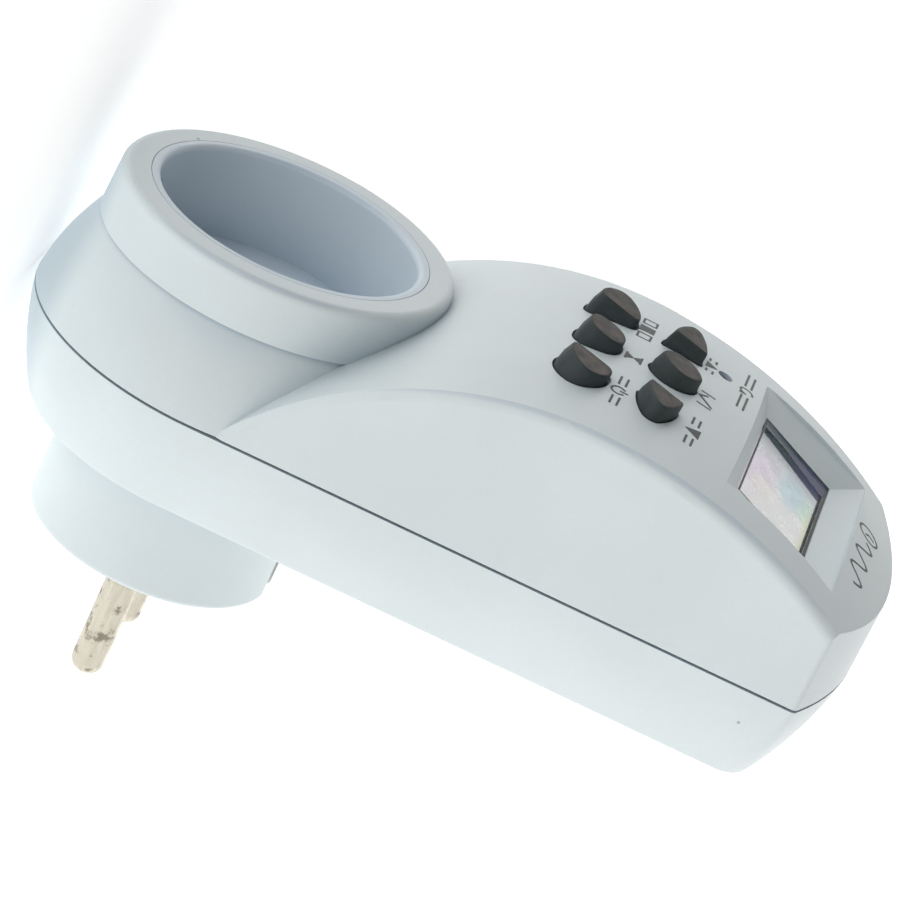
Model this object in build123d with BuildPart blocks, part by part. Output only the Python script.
from build123d import *
import math
import os

# Plug-in digital time switch with a socket on its front and a plug on its back.
# Frame: the plug axis is Y through the origin, the flat back that meets the wall is Y = 0,
# -Y points out of the wall and +Z runs up the body towards the display end.
# Places are given as (along, across, high): along = Z, across = -X, high = -Y. All in mm.

os.makedirs("parts", exist_ok=True)

# ---- Shell outline, seen from the front ----
end_radius = 29.7            # round end, centred on the plug axis
corner_along = 91.6          # corners of the display end
corner_across = 25.4
end_along = 97.2             # furthest point of the bulged display end
corner_radius = 1.0
wall = 2.0

# ---- Seam and rear cover ----
seam_high = 15.2             # middle of the seam above the wall
seam_gap = 0.4
rear_floor = 2.4
draft_linear = 0.13          # inset of a shell wall at a distance d from the seam:
draft_curve = 0.0125         # draft_linear * d + draft_curve * d * d

# ---- Arched front ----
crest_along = 51.0
crest_high = 39.4            # height of the arch at the crest, at the edge of the front
socket_arc = 56.0            # arc radii on the two sides of the crest
display_arc = 76.5
crown_rise = 1.75            # rise of the middle of the front above its edges
crown_half = 28.75           # half width over which it rises
section_half = 34.0          # half width of the block that the arch is cut from
edge_round = 2.2             # rounding of the long edges of the front
edge_depth = 1.4             # how far it reaches down the sides

# ---- Socket collar and well ----
bowl_top_radius = 24.6
bowl_mid_radius = 27.55
collar_low_radius = 25.25
collar_top_radius = 24.8
collar_low_high = 28.9
collar_top_high = 36.8
insert_radius = 20.75
insert_fit = 0.1
well_radius = 19.25
well_depth = 14.0
sleeve_thick = 1.9
sleeve_low_high = 19.4
contact_spacing = 19.0
contact_hole_radius = 2.6

# ---- Plug ----
boss_radius = 18.45
boss_length = 16.8
boss_wall = 2.2
boss_end = 3.0
pin_radius = 2.4
shank_radius = 3.0           # of the pins inside the body
pin_length = 19.0
pin_fit = 0.04

# ---- Keypad, seen in the plane of its board ----
key_tilt = 13.0              # lean of the board and of the keys towards the display end
key_board_high = 29.9        # top of the board at the crest
key_stand = 2.5              # keys stand this far out of the front
key_travel = 0.8
key_gap = 0.25
row_low_along = 45.6         # places of the middle keys of the two rows
row_high_along = 57.1
outer_low_along = 45.6       # places of the outer keys
outer_high_along = 56.7
key_pitch = 12.8
key_across = -0.5            # middle of the rows
reset_along = 63.6
reset_across = 11.8
reset_radius = 1.0

# ---- Display ----
display_tilt = 24.0
display_along = 79.0
display_across = 0.9
display_high = 32.4          # face of the window at display_along
window_low = -8.3            # window edges in the display plane, from display_along
window_high = 5.5
window_half = 14.2
rim_low_along = 69.6         # rim of the recess around the window
rim_high_along = 88.8
rim_half = 19.5

# ---- Boards and case screws ----
board_thick = 1.6
main_board_high = 7.0
main_board_low = 31.0
main_board_end = 79.0
main_board_half = 19.0
screw_radius = 1.3
screw_head_radius = 2.4
post_radius = 2.5
tube_radius = 3.3
screw_floor = 3.6            # seat of the screw heads above the wall
lower_screw = 21.4 / math.sqrt(2)
upper_screw_along = 83.5
upper_screw_across = 16.5
case_screw_places = [(-lower_screw, lower_screw), (-lower_screw, -lower_screw),
                     (upper_screw_along, upper_screw_across), (upper_screw_along, -upper_screw_across)]

# ---- Finer dimensions of the shells ----
collar_round = 1.3           # rounding of the rim of the collar
rear_edge_round = 1.0
tongue_inset = 0.95          # gap between the tongue and the inside of the front cover
tongue_thick = 1.1
tongue_top_high = 16.4
rib_low_high = 10.5          # foot of the rib that carries the tongue
rib_sunk = 0.5               # how far the rib is sunk into the wall
screw_pilot = 1.32           # radius of the holes that the case screws cut into
screw_tip_high = 18.6
post_low_high = 15.7
socket_post_top = 20.2
display_post_top = 24.0

# ---- Keys, switches and control board ----
key_depth = 6.2
key_shoulder = 0.6
key_draw = 0.90              # size of the top of a key against its foot
sharp_tip = (1.5, 0.9, 0.36)     # outer keys: rounding of the tip, how far it shortens them,
soft_tip = (2.4, 0.5, 0.47)      # and half width at mid depth as a share of the length
flange_low = 5.3             # flange that holds a key in, below the front
flange_top = 4.35
foot_gap = 0.15              # gap left under a pressed key
reset_travel = 0.5
reset_sunk = 0.5             # end of the reset plunger below the front
switch_body = 1.7
switch_top = 2.5
board_screw_radius = 0.9
board_post_places = [(35.0, 16.0), (35.0, -16.0), (75.0, 16.0), (75.0, -16.0)]
control_screw_places = [(-10.0, 19.7), (-10.0, -19.7), (13.5, 19.7), (13.5, -19.7)]
control_low = -12.2          # control board, in the keypad plane
control_top = 15.6
control_half = 21.8

# ---- Window and display panel ----
window_thick = 1.0
panel_thick = 2.6

# ---- Socket insert, contacts and plug pins ----
insert_low_high = 20.4
well_lip = 0.8
shroud_low_high = 12.0
shroud_radius = 4.3
contact_radius = 3.4
contact_bore = 2.42          # radius inside a contact tube
contact_low_high = 3.0
tab_high = 9.0               # height of the tabs that join the contacts to the bars
clip_top_high = 32.4
link_high = 10.4
block_length = 9.0
pin_round = 1.9
pin_flange = 3.4
pin_tail = 1.5

# ---- Earth strips and rating label ----
earth_width = 4.8
earth_thick = 0.8
groove_radius = 16.95        # bottom of the grooves for the earth strips
label_along = 62.0
label_length = 34.0
label_width = 24.0
label_recess = 0.3

wall_plane = Plane(origin=(0, 0, 0), x_dir=(0, 0, 1), z_dir=(0, -1, 0))
side_plane = Plane(origin=(0, 0, 0), x_dir=(0, 0, 1), z_dir=(1, 0, 0))
plug_axis = Axis((0, 0, 0), (0, -1, 0))

# ---- Sizes worked out from the ones above ----
seam_front = seam_high + seam_gap / 2
seam_rear = seam_high - seam_gap / 2
side_lean = (math.asin(end_radius / math.hypot(corner_along, corner_across))
             - math.atan2(corner_across, corner_along))
insert_bore = insert_radius + insert_fit
well_floor_high = collar_top_high - well_depth
pin_across = contact_spacing / 2
pin_tip_high = -boss_length - pin_length


# ---- Planes, outlines and blocks that several pieces share ----
def section_plane(along):
    """Plane across the body: local x = across, local y = high, facing the display end."""
    return Plane(origin=(0, 0, along), x_dir=(-1, 0, 0), z_dir=(0, 0, 1))


def tilted_plane(along, across, high, tilt):
    """Plane facing out of the front and leaning towards the display end by tilt degrees."""
    lean = math.radians(tilt)
    return Plane(origin=(-across, -high, along), x_dir=(0, math.sin(lean), math.cos(lean)),
                 z_dir=(0, -math.cos(lean), math.sin(lean)))


def crown_high(across):
    """Height of the crest line above the wall at a distance across."""
    return crest_high + crown_rise * (1 - (across / crown_half) ** 2)


def front_high(along, across):
    """Height of the arched front above the wall."""
    arc = (socket_arc if along < crest_along else display_arc) + crown_high(across) - crest_high
    return crown_high(across) - arc + math.sqrt(arc ** 2 - (along - crest_along) ** 2)


def draft_inset(depth):
    """Inset of a shell wall at a distance from the seam."""
    return draft_linear * depth + draft_curve * depth ** 2


def shell_outline(inset=0.0, corner=corner_radius):
    """Outline of the shells, moved in by inset: x = along, y = across."""
    touch = (end_radius * math.sin(side_lean), end_radius * math.cos(side_lean))
    with BuildSketch(Plane.XY) as outline:
        with BuildLine():
            ThreePointArc((touch[0], -touch[1]), (-end_radius, 0), touch)
            Line(touch, (corner_along, corner_across))
            ThreePointArc((corner_along, corner_across), (end_along, 0), (corner_along, -corner_across))
            Line((corner_along, -corner_across), (touch[0], -touch[1]))
        make_face()
        if inset > 0:
            offset(amount=-inset, kind=Kind.INTERSECTION)
        fillet(outline.vertices().group_by(Axis.X)[-1], radius=corner)
    return outline.sketch_local


def arch_block(drop):
    """Solid block under the arched front, with its skin lowered by drop."""
    halves = ((crest_high - display_arc, 60, -1), (crest_high - socket_arc, 64, 1))
    edge = (section_half, crown_high(section_half) - drop)
    with BuildPart() as block:
        for centre_high, sweep, turn in halves:
            foot = centre_high + 1
            with BuildSketch(section_plane(crest_along)):
                with BuildLine():
                    ThreePointArc((-edge[0], edge[1]), (0, crown_high(0) - drop), edge)
                    Polyline(edge, (edge[0], foot), (-edge[0], foot), (-edge[0], edge[1]))
                make_face()
            revolve(axis=Axis((0, -centre_high, crest_along), (turn, 0, 0)), revolution_arc=sweep)
    return block.part


def edge_cutter(side):
    """Block that rounds the edge between the arched front and one side of the body."""
    out = (math.sin(side_lean), side * math.cos(side_lean))
    reach = (end_radius - crest_along * out[0]) / math.cos(side_lean)
    normal = (-out[1], 0, out[0])
    origin_x = -side * reach
    halves = ((crest_high - display_arc, 60, side), (crest_high - socket_arc, 64, -side))
    side_end = crest_high - edge_depth
    top_end = side_end + edge_round
    outside = 3.0
    with BuildPart() as cutter:
        for centre_high, sweep, turn in halves:
            plane = Plane(origin=(origin_x, 0, crest_along), x_dir=normal,
                          z_dir=(out[0], 0, side * math.cos(side_lean)))
            with BuildSketch(plane):
                with BuildLine():
                    RadiusArc((0, side_end), (-edge_round, top_end), -edge_round)
                    Polyline((-edge_round, top_end), (-edge_round, top_end + outside),
                             (outside, top_end + outside), (outside, side_end), (0, side_end))
                make_face()
            spin = (turn * normal[0], 0, turn * normal[2])
            revolve(axis=Axis((origin_x, -centre_high, crest_along), spin), revolution_arc=sweep)
    return cutter.part


# ---- Front cover ----
display = tilted_plane(display_along, display_across, display_high, display_tilt)
keypad = tilted_plane(crest_along, 0, key_board_high, key_tilt)

with BuildPart() as bowl_cavity:
    with BuildSketch(side_plane):
        with BuildLine():
            mid = (bowl_mid_radius - wall, seam_high + 8)
            top = (bowl_top_radius - wall + 0.6, collar_low_high - wall)
            Line((0, seam_front), (end_radius - wall, seam_front))
            ThreePointArc((end_radius - wall, seam_front), mid, top)
            Polyline(top, (0, top[1]), (0, seam_front))
        make_face()
    revolve(axis=plug_axis)

with BuildPart() as front_cavity:
    add(arch_block(wall))
    with BuildSketch(wall_plane.offset(seam_front)):
        add(shell_outline(wall))
    extrude(amount=crest_high, mode=Mode.INTERSECT)
    add(bowl_cavity.part)

rim_low_high = front_high(rim_low_along, rim_half)
rim_high_high = front_high(rim_high_along, rim_half)
rim_run = rim_high_along - rim_low_along
rim_fall = rim_low_high - rim_high_high
rim_length = math.hypot(rim_run, rim_fall)
rim_plane = tilted_plane((rim_low_along + rim_high_along) / 2, display_across,
                         (rim_low_high + rim_high_high) / 2,
                         math.degrees(math.atan2(rim_fall, rim_run)))

with BuildPart() as display_block:
    with BuildSketch(display.offset(-1.0)):
        with Locations(((window_low + window_high) / 2, 0)):
            Rectangle(window_high - window_low + 8.6, 2 * window_half + 10.0)
    extrude(amount=8)
    add(arch_block(wall / 2), mode=Mode.INTERSECT)


# ---- Keys: outlines in the plane of the keypad board ----
def half_key(length, side, soften, tip_shape):
    """Key that narrows to a round tip, with its flat side towards the middle of its row."""
    tip_round, tip_trim, waist = tip_shape
    flat = -side * key_depth / 2
    tip = side * (key_depth / 2 + tip_trim)
    bulge = (waist * length, side * 0.12 * key_depth)
    with BuildSketch(Plane.XY) as outline:
        with BuildLine():
            Line((-length / 2, flat), (length / 2, flat))
            ThreePointArc((length / 2, flat), bulge, (0, tip))
            ThreePointArc((0, tip), (-bulge[0], bulge[1]), (-length / 2, flat))
        make_face()
        fillet(outline.vertices().sort_by_distance((0, tip, 0))[0], radius=tip_round)
        fillet(outline.vertices().group_by(Axis.Y)[0 if side > 0 else -1], radius=soften)
    return outline.sketch_local


def oval_key(length):
    """Key made of two arcs that meet in rounded ends."""
    bulge = key_depth / 2 + 0.1
    with BuildSketch(Plane.XY) as outline:
        with BuildLine():
            ThreePointArc((-length / 2, 0), (0, bulge), (length / 2, 0))
            ThreePointArc((length / 2, 0), (0, -bulge), (-length / 2, 0))
        make_face()
        fillet(outline.vertices(), radius=1.8)
    return outline.sketch_local


def key_outline(key, grow=0.0):
    """Outline of one key, moved out by grow: x runs towards the display end, y = across."""
    shape, length = key["shape"], key["length"]
    with BuildSketch(Plane.XY) as outline:
        if shape == "barrel":
            RectangleRounded(length, key_depth, 2.6)
        elif shape == "oval":
            add(oval_key(length))
        elif shape in ("soft_left", "soft_right"):
            add(half_key(length, 1 if shape == "soft_left" else -1, 1.2, soft_tip))
        else:
            add(half_key(length, 1 if shape == "sharp_left" else -1, 0.4, sharp_tip))
        if grow > 0:
            offset(amount=grow)
    return outline.sketch_local


def keypad_place(along, across):
    """Place of a point of the front surface in the keypad plane, and its rise above the board."""
    local = keypad.to_local_coords(Vector(-across, -front_high(along, across), along))
    return {"place": (local.X, local.Y), "rise": local.Z}


key_shapes = {
    "mode": ("soft_left", 6.9, outer_low_along, key_across + key_pitch),
    "count": ("barrel", 6.5, row_low_along, key_across),
    "manual": ("soft_right", 6.9, outer_low_along, key_across - key_pitch),
    "up": ("sharp_left", 6.2, outer_high_along, key_across + key_pitch),
    "set": ("oval", 7.4, row_high_along, key_across),
    "down": ("sharp_right", 6.2, outer_high_along, key_across - key_pitch),
}
keys = {name: dict(keypad_place(along, across), shape=shape, length=length)
        for name, (shape, length, along, across) in key_shapes.items()}
reset_key = keypad_place(reset_along, reset_across)

with BuildPart() as control_bosses:
    with BuildSketch(keypad):
        with Locations(*control_screw_places):
            Circle(2.0)
    extrude(amount=14)
    add(arch_block(wall / 2), mode=Mode.INTERSECT)
    with BuildSketch(keypad.offset(-1)):
        with Locations(*control_screw_places):
            Circle(board_screw_radius)
    extrude(amount=5.5, mode=Mode.SUBTRACT)

with BuildPart() as front_cover:
    add(arch_block(0))
    with BuildSketch(wall_plane.offset(seam_front)):
        add(shell_outline())
    extrude(amount=crest_high, mode=Mode.INTERSECT)
    for side in (1, -1):
        add(edge_cutter(side), mode=Mode.SUBTRACT)
    with BuildSketch(side_plane) as bowl_profile:
        with BuildLine():
            Line((0, seam_front), (end_radius, seam_front))
            ThreePointArc((end_radius, seam_front), (bowl_mid_radius, seam_high + 8),
                          (bowl_top_radius, collar_low_high))
            Polyline((bowl_top_radius, collar_low_high), (collar_low_radius, collar_low_high),
                     (collar_top_radius, collar_top_high), (0, collar_top_high), (0, seam_front))
        make_face()
        rim = (collar_top_radius, collar_top_high, 0)
        fillet(bowl_profile.vertices().sort_by_distance(rim)[0], radius=collar_round)
    revolve(axis=plug_axis)
    add(front_cavity.part, mode=Mode.SUBTRACT)
    with BuildSketch(wall_plane.offset(sleeve_low_high)):
        Circle(insert_bore + sleeve_thick)
    extrude(amount=collar_low_high - sleeve_low_high)
    add(display_block.part)
    add(control_bosses.part)
    # well bore
    with BuildSketch(wall_plane.offset(sleeve_low_high)):
        Circle(insert_bore)
    extrude(amount=collar_top_high, mode=Mode.SUBTRACT)
    # screw posts
    for place in case_screw_places:
        top = socket_post_top if place[0] < 0 else display_post_top
        with BuildSketch(wall_plane.offset(post_low_high)):
            with Locations(place):
                Circle(post_radius)
        extrude(amount=top - post_low_high)
    for side in (1, -1):
        with BuildSketch(wall_plane.offset(post_low_high + 2)):
            with Locations((upper_screw_along, side * (upper_screw_across + 4.5))):
                Rectangle(1.6, 6.4)
        extrude(amount=display_post_top - post_low_high - 2)
    with BuildSketch(wall_plane.offset(post_low_high)):
        with Locations(*case_screw_places):
            Circle(screw_pilot)
    extrude(amount=screw_tip_high + 0.4 - post_low_high, mode=Mode.SUBTRACT)
    # display recess and its opening
    window_middle = ((window_low + window_high) / 2, 0)
    with BuildSketch(display):
        with Locations(window_middle):
            Rectangle(window_high - window_low, 2 * window_half)
    with BuildSketch(rim_plane):
        Rectangle(rim_length, 2 * rim_half)
    loft(ruled=True, mode=Mode.SUBTRACT)
    with BuildSketch(rim_plane):
        Rectangle(rim_length, 2 * rim_half)
    extrude(amount=3, mode=Mode.SUBTRACT)
    with BuildSketch(display.offset(0.1)):
        with Locations(window_middle):
            Rectangle(window_high - window_low, 2 * window_half)
    extrude(amount=-6, mode=Mode.SUBTRACT)
    # key and reset holes
    for key in keys.values():
        with BuildSketch(keypad.offset(key["rise"] - 6)):
            with Locations(key["place"]):
                add(key_outline(key, key_gap))
        extrude(amount=12, mode=Mode.SUBTRACT)
    with BuildSketch(keypad.offset(reset_key["rise"] - 6)):
        with Locations(reset_key["place"]):
            Circle(reset_radius + 0.2)
    extrude(amount=12, mode=Mode.SUBTRACT)
front_cover.part.label = "front_cover"
export_step(front_cover.part, "parts/front_cover.step")


# ---- Rear cover with the plug boss ----
def shell_sections(inset, low_high):
    """Outlines for lofting the rear shell: pairs of a height and a sketch."""
    count = 4
    for k in range(count + 1):
        depth = (seam_rear - low_high) * k / count
        yield seam_rear - depth, shell_outline(inset + draft_inset(depth), corner_radius + 0.25 * depth)


with BuildPart() as rear_hollow:
    for high, outline in shell_sections(wall, rear_floor):
        with BuildSketch(wall_plane.offset(high)):
            add(outline)
    loft()

with BuildPart() as rear_cover:
    for high, outline in shell_sections(0, 0):
        with BuildSketch(wall_plane.offset(high)):
            add(outline)
    loft()
    fillet(rear_cover.faces().sort_by(Axis.Y)[-1].edges(), radius=rear_edge_round)
    with BuildSketch(wall_plane):
        Circle(boss_radius)
    extrude(amount=-boss_length)
    fillet(rear_cover.faces().sort_by(Axis.Y)[-1].edges(), radius=0.9)
    add(rear_hollow.part, mode=Mode.SUBTRACT)
    with BuildSketch(wall_plane.offset(boss_end - boss_length)):
        Circle(boss_radius - boss_wall)
    extrude(amount=boss_length, mode=Mode.SUBTRACT)
    # rib inside the rim, and the tongue on it that stands up inside the front cover
    for inset, top_high in ((wall - rib_sunk, seam_rear), (wall + tongue_inset, tongue_top_high)):
        with BuildSketch(wall_plane.offset(rib_low_high)):
            add(shell_outline(inset))
            add(shell_outline(wall + tongue_inset + tongue_thick), mode=Mode.SUBTRACT)
        extrude(amount=top_high - rib_low_high)
    # screw tubes and board posts
    with BuildSketch(wall_plane.offset(rear_floor / 2)):
        with Locations(*case_screw_places):
            Circle(tube_radius)
    extrude(amount=seam_high - rear_floor / 2)
    with BuildSketch(wall_plane.offset(rear_floor / 2)):
        with Locations(*board_post_places):
            Circle(tube_radius)
    extrude(amount=main_board_high - rear_floor / 2)
    with BuildSketch(wall_plane):
        with Locations(*case_screw_places):
            Circle(screw_head_radius + 0.15)
    extrude(amount=screw_floor, mode=Mode.SUBTRACT)
    with BuildSketch(wall_plane.offset(-1)):
        with Locations(*case_screw_places):
            Circle(screw_radius + 0.15)
    extrude(amount=seam_high + 2, mode=Mode.SUBTRACT)
    with BuildSketch(wall_plane.offset(main_board_high - 4.2)):
        with Locations(*board_post_places):
            Circle(board_screw_radius)
    extrude(amount=6, mode=Mode.SUBTRACT)
    # pin holes
    with BuildSketch(wall_plane.offset(-boss_length - 1)):
        with Locations((0, pin_across), (0, -pin_across)):
            Circle(shank_radius + pin_fit)
    extrude(amount=boss_end + 2, mode=Mode.SUBTRACT)
    # grooves in the boss for the earth strips, and the slots that take them inside
    for end in (1, -1):
        with BuildSketch(wall_plane.offset(-boss_length - 1)):
            with Locations((end * (groove_radius + 2), 0)):
                Rectangle(4, earth_width + 0.4)
        extrude(amount=boss_length + 1, mode=Mode.SUBTRACT)
        with BuildSketch(wall_plane.offset(-1)):
            with Locations((end * (groove_radius + 0.8), 0)):
                Rectangle(1.6, earth_width + 0.4)
        extrude(amount=rear_floor + 2, mode=Mode.SUBTRACT)
    # recess for the label
    with BuildSketch(wall_plane):
        with Locations((label_along, 0)):
            RectangleRounded(label_length + 0.4, label_width + 0.4, 1.5)
    extrude(amount=label_recess, mode=Mode.SUBTRACT)
rear_cover.part.label = "rear_cover"
export_step(rear_cover.part, "parts/rear_cover.step")


# ---- Socket insert and its contacts ----
def save(part, name):
    """Label one finished piece and write its STEP file."""
    part.label = name
    export_step(part, f"parts/{name}.step")


with BuildPart() as socket_insert:
    with BuildSketch(wall_plane.offset(insert_low_high)):
        Circle(insert_radius)
    extrude(amount=collar_top_high - insert_low_high)
    with BuildSketch(wall_plane.offset(well_floor_high)):
        Circle(well_radius)
    extrude(amount=well_depth, mode=Mode.SUBTRACT)
    mouth = socket_insert.faces().sort_by(Axis.Y)[0]
    fillet(mouth.edges().sort_by(SortBy.LENGTH)[0], radius=well_lip)
    with BuildSketch(wall_plane.offset(shroud_low_high)):
        with Locations((0, pin_across), (0, -pin_across)):
            Circle(shroud_radius)
    extrude(amount=insert_low_high - shroud_low_high)
    with BuildSketch(wall_plane.offset(shroud_low_high)):
        with Locations((0, pin_across), (0, -pin_across)):
            Circle(contact_radius + 0.15)
    extrude(amount=insert_low_high - shroud_low_high, mode=Mode.SUBTRACT)
    with BuildSketch(wall_plane.offset(insert_low_high)):
        with Locations((0, pin_across), (0, -pin_across)):
            Circle(contact_hole_radius)
    extrude(amount=well_floor_high - insert_low_high, mode=Mode.SUBTRACT)
    with BuildSketch(wall_plane.offset(insert_low_high)):
        with Locations((well_radius + 0.4, 0), (-well_radius - 0.4, 0)):
            Rectangle(1.2, earth_width + 0.3)
    extrude(amount=clip_top_high + 0.3 - insert_low_high, mode=Mode.SUBTRACT)
save(socket_insert.part, "socket_insert")


def socket_contact(side):
    """Split tube that grips one pin of the plug put into the socket, with its solder tab."""
    with BuildPart() as contact:
        with BuildSketch(wall_plane.offset(contact_low_high)):
            with Locations((0, side * pin_across)):
                Circle(contact_radius)
            with Locations((contact_radius, side * pin_across)):
                Rectangle(1.6, 3.4)
        extrude(amount=tab_high - contact_low_high)
        with BuildSketch(wall_plane.offset(tab_high)):
            with Locations((0, side * pin_across)):
                Circle(contact_radius)
        extrude(amount=insert_low_high - 0.3 - tab_high)
        with BuildSketch(wall_plane.offset(contact_low_high)):
            with Locations((0, side * pin_across)):
                Circle(contact_bore)
        extrude(amount=insert_low_high, mode=Mode.SUBTRACT)
        with BuildSketch(wall_plane.offset(tab_high)):
            with Locations((0, side * pin_across)):
                Rectangle(0.7, 10)
        extrude(amount=insert_low_high, mode=Mode.SUBTRACT)
    return contact.part


save(socket_contact(1), "socket_contact_left")
save(socket_contact(-1), "socket_contact_right")


# ---- Earth strips, seen from the side: x = along, y = high ----
def side_strip(points, width, across=0.0):
    """Strip of a closed side outline, width wide, centred at across."""
    with BuildPart() as strip:
        with BuildSketch(side_plane.offset(-across - width / 2)):
            with BuildLine():
                Polyline(*points, close=True)
            make_face()
        extrude(amount=width)
    return strip.part


clip_in = well_radius + 0.1
clip_out = clip_in + 0.7
link_top = link_high + 0.8
for name, end in (("upper", 1), ("lower", -1)):
    clip = [(end * clip_in, link_top), (end * clip_in, clip_top_high - 3),
            (end * (clip_in + 0.25), clip_top_high), (end * (clip_out + 0.1), clip_top_high),
            (end * clip_out, clip_top_high - 3), (end * clip_out, link_top)]
    save(side_strip(clip, earth_width), f"socket_earth_clip_{name}")
    low = -boss_length + 1.2
    strip = [(end * (groove_radius + 0.1), low), (end * (groove_radius + 0.1 + earth_thick), low),
             (end * (groove_radius + 0.1 + earth_thick), link_high), (end * (groove_radius + 0.1), link_high)]
    save(side_strip(strip, earth_width), f"plug_earth_strip_{name}")

with BuildPart() as earth_link:
    with BuildSketch(wall_plane.offset(link_high)):
        Circle(17.4)
        Circle(14.8, mode=Mode.SUBTRACT)
        with Locations((18.4, 0), (-18.4, 0)):
            Rectangle(3.4, earth_width)
    extrude(amount=link_top - link_high)
save(earth_link.part, "earth_link")


# ---- Plug pins and the block that holds them ----
with BuildPart() as plug_block:
    with BuildSketch(wall_plane.offset(boss_end - boss_length)):
        Circle(boss_radius - boss_wall - 0.1)
    extrude(amount=block_length)
    with BuildSketch(wall_plane.offset(boss_end - boss_length)):
        with Locations((0, pin_across), (0, -pin_across)):
            Circle(shank_radius + pin_fit)
    extrude(amount=block_length, mode=Mode.SUBTRACT)
    with BuildSketch(wall_plane.offset(boss_end - boss_length + block_length)):
        Rectangle(9, 8)
    extrude(amount=-3, mode=Mode.SUBTRACT)
save(plug_block.part, "plug_block")

block_top = boss_end - boss_length + block_length
for name, side in (("left", 1), ("right", -1)):
    with BuildPart() as plug_pin:
        with BuildSketch(wall_plane.offset(pin_tip_high)):
            with Locations((0, side * pin_across)):
                Circle(pin_radius)
        extrude(amount=block_top - pin_tip_high)
        fillet(plug_pin.faces().sort_by(Axis.Y)[-1].edges(), radius=pin_round)
        with BuildSketch(wall_plane.offset(-boss_length)):
            with Locations((0, side * pin_across)):
                Circle(shank_radius)
        extrude(amount=block_top + boss_length)
        with BuildSketch(wall_plane.offset(block_top)):
            with Locations((0, side * pin_across)):
                Circle(pin_flange)
        extrude(amount=1.4)
        with BuildSketch(wall_plane.offset(block_top + 1.4)):
            with Locations((0, side * pin_across)):
                Circle(pin_tail)
        extrude(amount=1.8)
    save(plug_pin.part, f"plug_pin_{name}")

# ---- Current bars between the pins, the boards and the socket contacts ----
bar_low = block_top + 1.4
bar_x = contact_radius + 0.8


def pin_bar(side, board_end):
    """Bar from a pin tail along to the main board, and up to the socket contact if it isn't switched."""
    route = [(-3.2, bar_low), (bar_x + 0.8, bar_low), (bar_x + 0.8, 4.4), (board_end, 4.4),
             (board_end, main_board_high), (board_end - 0.8, main_board_high), (board_end - 0.8, 5.2),
             (bar_x, 5.2), (bar_x, bar_low + 0.8), (-3.2, bar_low + 0.8)]
    with BuildPart() as bar:
        add(side_strip(route, 4.0, side * pin_across))
        if side < 0:
            upright = [(bar_x, 5.0), (bar_x + 0.8, 5.0), (bar_x + 0.8, tab_high), (bar_x, tab_high)]
            add(side_strip(upright, 4.0, side * pin_across))
        with BuildSketch(wall_plane.offset(bar_low - 1)):
            with Locations((0, side * pin_across)):
                Circle(pin_tail + 0.02)
        extrude(amount=3, mode=Mode.SUBTRACT)
    return bar.part


save(pin_bar(1, 36.0), "live_input_bar")
save(pin_bar(-1, 36.0), "neutral_bar")

board_top = main_board_high + board_thick
output_route = [(bar_x, 6.0), (bar_x + 0.8, 6.0), (bar_x + 0.8, board_top), (34.0, board_top),
                (34.0, board_top + 0.8), (bar_x, board_top + 0.8)]
save(side_strip(output_route, 4.0, pin_across), "live_output_bar")

# ---- Main board and what stands on it ----
with BuildPart() as main_board:
    with BuildSketch(wall_plane.offset(main_board_high)) as board_face:
        with Locations(((main_board_low + main_board_end) / 2, 0)):
            Rectangle(main_board_end - main_board_low, 2 * main_board_half)
        fillet(board_face.vertices(), radius=1.5)
        with Locations(*board_post_places):
            Circle(1.15, mode=Mode.SUBTRACT)
    extrude(amount=board_thick)
save(main_board.part, "main_board")


def board_block(place, size, high, soften=0.4):
    """Moulded block that stands on the main board, with softened upper edges."""
    with BuildPart() as block:
        with BuildSketch(wall_plane.offset(board_top)):
            with Locations(place):
                Rectangle(*size)
        extrude(amount=high)
        fillet(block.faces().sort_by(Axis.Y)[0].edges(), radius=soften)
    return block.part


def board_can(place, radius, high, soften=0.5):
    """Round component that stands on the main board."""
    with BuildPart() as can:
        with BuildSketch(wall_plane.offset(board_top)):
            with Locations(place):
                Circle(radius)
        extrude(amount=high)
        fillet(can.faces().sort_by(Axis.Y)[0].edges(), radius=soften)
    return can.part


save(board_block((47.5, 4.0), (19.0, 15.4), 14.8), "relay")
save(board_block((46.5, -13.0), (17.5, 7.0), 12.0, 0.8), "dropper_capacitor")
save(board_can((62.0, 0.5), 4.0, 11.5), "smoothing_capacitor")
save(board_block((59.5, -13.0), (3.6, 9.5), 10.5, 1.2), "varistor")
save(board_block((62.0, 11.0), (4.0, 9.0), 3.6, 0.8), "fuse_resistor")
save(board_can((72.5, 2.0), 5.8, 15.0, 1.0), "backup_battery")

with BuildPart() as rectifier_diodes:
    with BuildSketch(wall_plane.offset(board_top)):
        with Locations((71.0, 0)):
            with GridLocations(0, 3.2, 1, 4):
                with Locations((-2.0, -11.6)):
                    Rectangle(4.4, 2.2)
    extrude(amount=2.2)
save(rectifier_diodes.part, "rectifier_diodes")

with BuildPart() as board_screws:
    with BuildSketch(wall_plane.offset(board_top)):
        with Locations(*board_post_places):
            Circle(2.0)
    extrude(amount=1.3)
    with BuildSketch(wall_plane.offset(main_board_high - 4)):
        with Locations(*board_post_places):
            Circle(board_screw_radius - 0.02)
    extrude(amount=4 + board_thick)
save(board_screws.part, "board_screws")

# ---- Control board: keys, controller and display drive ----
with BuildPart() as control_board:
    with BuildSketch(keypad) as control_face:
        with Locations(((control_low + control_top) / 2, 0)):
            Rectangle(control_top - control_low, 2 * control_half)
        fillet(control_face.vertices(), radius=1.0)
        with Locations(*control_screw_places):
            Circle(1.1, mode=Mode.SUBTRACT)
    extrude(amount=-board_thick)
save(control_board.part, "control_board")

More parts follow.
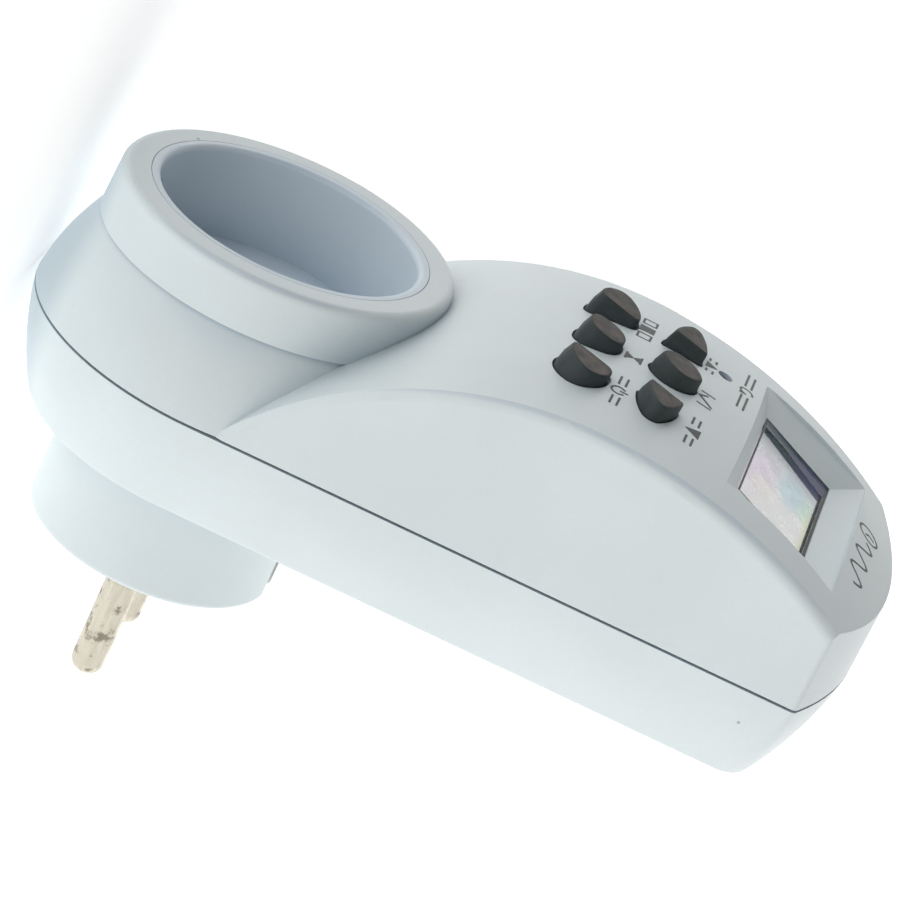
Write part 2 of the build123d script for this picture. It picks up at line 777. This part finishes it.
with BuildPart() as control_screws:
    with BuildSketch(keypad.offset(-board_thick)):
        with Locations(*control_screw_places):
            Circle(2.0)
    extrude(amount=-1.2)
    with BuildSketch(keypad.offset(-board_thick)):
        with Locations(*control_screw_places):
            Circle(board_screw_radius - 0.02)
    extrude(amount=board_thick + 4.0)
save(control_screws.part, "control_screws")

with BuildPart() as controller_chip:
    with BuildSketch(keypad.offset(-board_thick)):
        with Locations((1.5, -6.0)):
            Rectangle(10, 10)
    extrude(amount=-1.4)
save(controller_chip.part, "controller_chip")

with BuildPart() as crystal:
    with BuildSketch(keypad.offset(-board_thick)):
        with Locations((1.5, 6.0)):
            RectangleRounded(8.0, 3.2, 1.5)
    extrude(amount=-2.6)
save(crystal.part, "crystal")

with BuildPart() as key_switches:
    with BuildSketch(keypad):
        for key in keys.values():
            with Locations(key["place"]):
                Rectangle(6.0, 6.0)
    extrude(amount=switch_body)
    with BuildSketch(keypad.offset(switch_body)):
        for key in keys.values():
            with Locations(key["place"]):
                Circle(1.7)
    extrude(amount=switch_top - switch_body)
save(key_switches.part, "key_switches")

with BuildPart() as reset_switch:
    with BuildSketch(keypad):
        with Locations(reset_key["place"]):
            Rectangle(4.0, 4.0)
    extrude(amount=switch_body)
    with BuildSketch(keypad.offset(switch_body)):
        with Locations(reset_key["place"]):
            Circle(1.0)
    extrude(amount=switch_top - switch_body)
save(reset_switch.part, "reset_switch")

# ---- The six keys and the reset plunger ----
for name, key in keys.items():
    with BuildPart() as button:
        foot_low = switch_top + key_travel + foot_gap
        with BuildSketch(keypad.offset(foot_low)):
            with Locations(key["place"]):
                Circle(1.8)
        extrude(amount=key["rise"] - flange_low - foot_low)
        with BuildSketch(keypad.offset(key["rise"] - flange_low)):
            with Locations(key["place"]):
                add(key_outline(key, 0.9))
        extrude(amount=flange_low - flange_top)
        with BuildSketch(keypad.offset(key["rise"] - flange_top)):
            with Locations(key["place"]):
                add(key_outline(key))
        extrude(amount=flange_top + key_shoulder)
        with BuildSketch(keypad.offset(key["rise"] + key_shoulder)):
            with Locations(key["place"]):
                add(key_outline(key))
        with BuildSketch(keypad.offset(key["rise"] + key_stand)):
            with Locations(key["place"]):
                add(scale(key_outline(key), by=key_draw, mode=Mode.PRIVATE))
        loft(ruled=True)
        top_face = button.faces().sort_by(Axis((0, 0, 0), keypad.z_dir))[-1]
        fillet(top_face.edges(), radius=0.4)
    save(button.part, f"button_{name}")

with BuildPart() as reset_plunger:
    reset_foot = switch_top + reset_travel + foot_gap
    with BuildSketch(keypad.offset(reset_foot)):
        with Locations(reset_key["place"]):
            Circle(reset_radius)
    extrude(amount=reset_key["rise"] - reset_sunk - reset_foot)
    with BuildSketch(keypad.offset(reset_key["rise"] - flange_low)):
        with Locations(reset_key["place"]):
            Circle(2.0)
    extrude(amount=flange_low - flange_top)
    fillet(reset_plunger.faces().sort_by(Axis((0, 0, 0), keypad.z_dir))[-1].edges(), radius=0.3)
save(reset_plunger.part, "reset_plunger")

# ---- Display: window, panel, frame and ribbon ----
window_length = window_high - window_low
window_mid = (window_high + window_low) / 2
with BuildPart() as display_window:
    with BuildSketch(display):
        with Locations((window_mid, 0)):
            Rectangle(window_length - 0.3, 2 * window_half - 0.3)
    extrude(amount=-window_thick)
save(display_window.part, "display_window")

with BuildPart() as display_panel:
    with BuildSketch(display.offset(-window_thick - 0.1)):
        with Locations((window_mid, 0)):
            Rectangle(window_length + 2.0, 2 * window_half + 2.2)
    extrude(amount=-panel_thick)
save(display_panel.part, "display_panel")

with BuildPart() as display_frame:
    with BuildSketch(display.offset(-window_thick - 0.1)):
        with Locations((window_mid, 0)):
            Rectangle(window_length + 4.0, 2 * window_half + 4.2)
            Rectangle(window_length + 2.2, 2 * window_half + 2.4, mode=Mode.SUBTRACT)
    extrude(amount=-panel_thick - 1.3)
    with BuildSketch(display.offset(-window_thick - 0.15 - panel_thick)):
        with Locations((window_mid, 0)):
            Rectangle(window_length + 3.0, 2 * window_half + 3.2)
            Rectangle(window_length + 5.0, 2 * window_half - 5.0, mode=Mode.SUBTRACT)
    extrude(amount=-1.2)
save(display_frame.part, "display_frame")

display_ribbon_route = [(69.0, 32.4), (69.4, 32.4), (66.8, 25.3), (66.4, 25.3)]
save(side_strip(display_ribbon_route, 20.0), "display_ribbon")

board_ribbon_route = [(39.2, 30.8), (39.6, 30.8), (39.6, 30.2), (37.4, 24.5), (35.6, board_top),
                      (35.2, board_top), (37.0, 24.7), (39.2, 30.4)]
save(side_strip(board_ribbon_route, 9.0, -1.5), "board_ribbon")

# ---- Case screws and the blank label on the back ----
with BuildPart() as case_screws:
    with BuildSketch(wall_plane.offset(screw_floor - 1.9)):
        with Locations(*case_screw_places):
            Circle(screw_head_radius)
    extrude(amount=1.9)
    with BuildSketch(wall_plane.offset(screw_floor - 1.9)):
        for place in case_screw_places:
            with Locations(place):
                Rectangle(2.8, 0.7)
                Rectangle(0.7, 2.8)
    extrude(amount=1.1, mode=Mode.SUBTRACT)
    with BuildSketch(wall_plane.offset(screw_floor)):
        with Locations(*case_screw_places):
            Circle(screw_radius)
    extrude(amount=screw_tip_high - screw_floor)
save(case_screws.part, "case_screws")

with BuildPart() as rating_label:
    with BuildSketch(wall_plane.offset(label_recess - 0.2)):
        with Locations((label_along, 0)):
            RectangleRounded(label_length, label_width, 1.3)
    extrude(amount=0.2)
save(rating_label.part, "rating_label")
